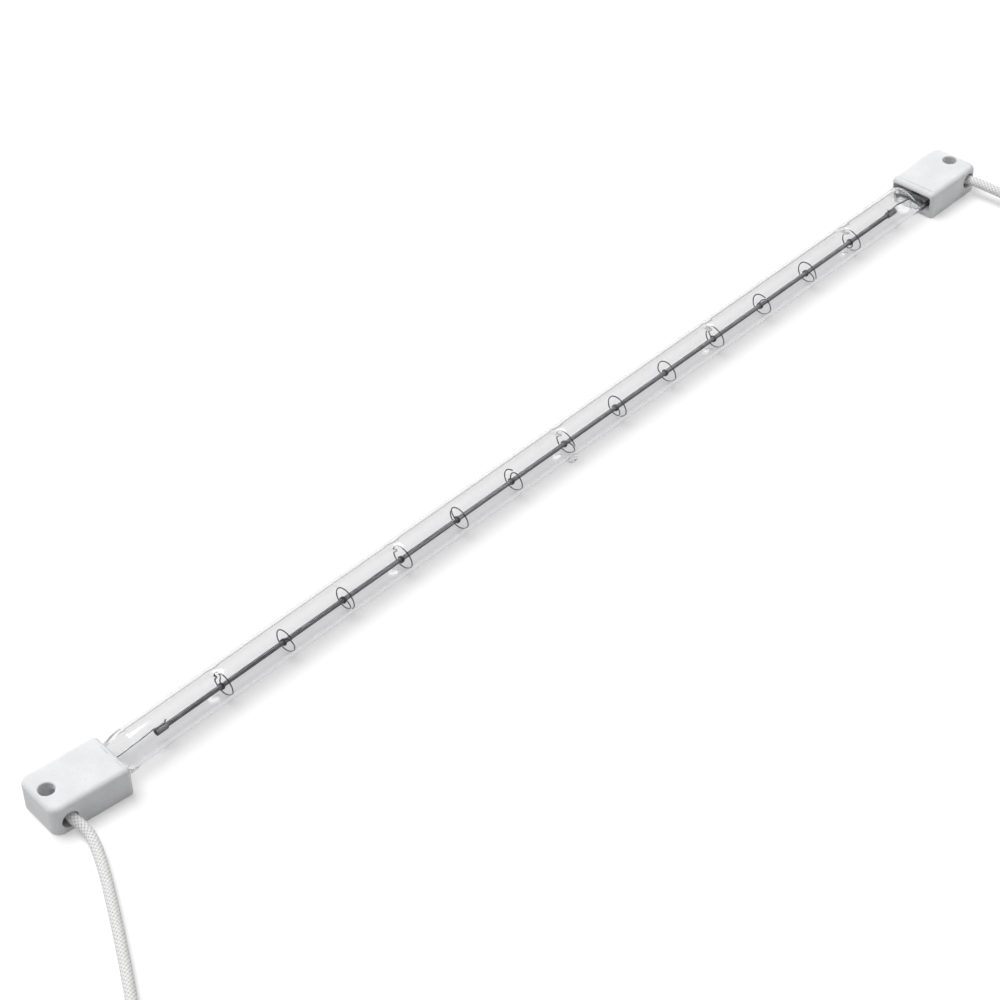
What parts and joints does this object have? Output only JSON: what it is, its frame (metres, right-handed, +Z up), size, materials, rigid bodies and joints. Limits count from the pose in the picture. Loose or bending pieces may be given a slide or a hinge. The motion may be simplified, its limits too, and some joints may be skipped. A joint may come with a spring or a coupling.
{
  "type": "quartz heating tube",
  "caption": "Clear quartz infrared heating tube: coiled filament on spiral wire supports, flat pinched ends in ceramic caps with screw holes, and a braided lead from each cap",
  "frame": {"origin": "midway between the two caps, on the surface that their flat undersides rest on", "axes": "+X along the tube towards the cap that sits square, +Z up, both leads leave their caps towards -Y"},
  "size_m": [0.4828, 0.0993, 0.0107],
  "materials": {
    "quartz": "clear, fire-polished",
    "tungsten": "drawn wire, dark grey",
    "molybdenum": "satin",
    "nickel": "satin",
    "ceramic": "matte, unglazed",
    "cement": "matte",
    "braid": "woven glass fibre",
    "tie": "matte"
  },
  "bodies": {
    "root": {"quartz_tube": "quartz", "filament_coil": "tungsten", "support_ring_01": "tungsten", "support_ring_02": "tungsten", "support_ring_03": "tungsten", "support_ring_04": "tungsten", "support_ring_05": "tungsten", "support_ring_06": "tungsten", "support_ring_07": "tungsten", "support_ring_08": "tungsten", "support_ring_09": "tungsten", "support_ring_10": "tungsten", "support_ring_11": "tungsten", "support_ring_12": "tungsten", "support_ring_13": "tungsten", "coil_end_sleeve_left": "molybdenum", "inner_lead_left": "molybdenum", "seal_foil_left": "molybdenum", "outer_pin_left": "molybdenum", "splice_ferrule_left": "nickel", "ceramic_cap_left": "ceramic", "cement_left": "cement", "lead_left": "braid", "lead_coil_left": "braid", "lead_tail_left": "braid", "lead_tie_left": "tie", "lead_terminal_left": "nickel", "coil_end_sleeve_right": "molybdenum", "inner_lead_right": "molybdenum", "seal_foil_right": "molybdenum", "outer_pin_right": "molybdenum", "splice_ferrule_right": "nickel", "ceramic_cap_right": "ceramic", "cement_right": "cement", "lead_right": "braid", "lead_coil_right": "braid", "lead_tail_right": "braid", "lead_tie_right": "tie", "lead_terminal_right": "nickel"}
  },
  "joints": []
}
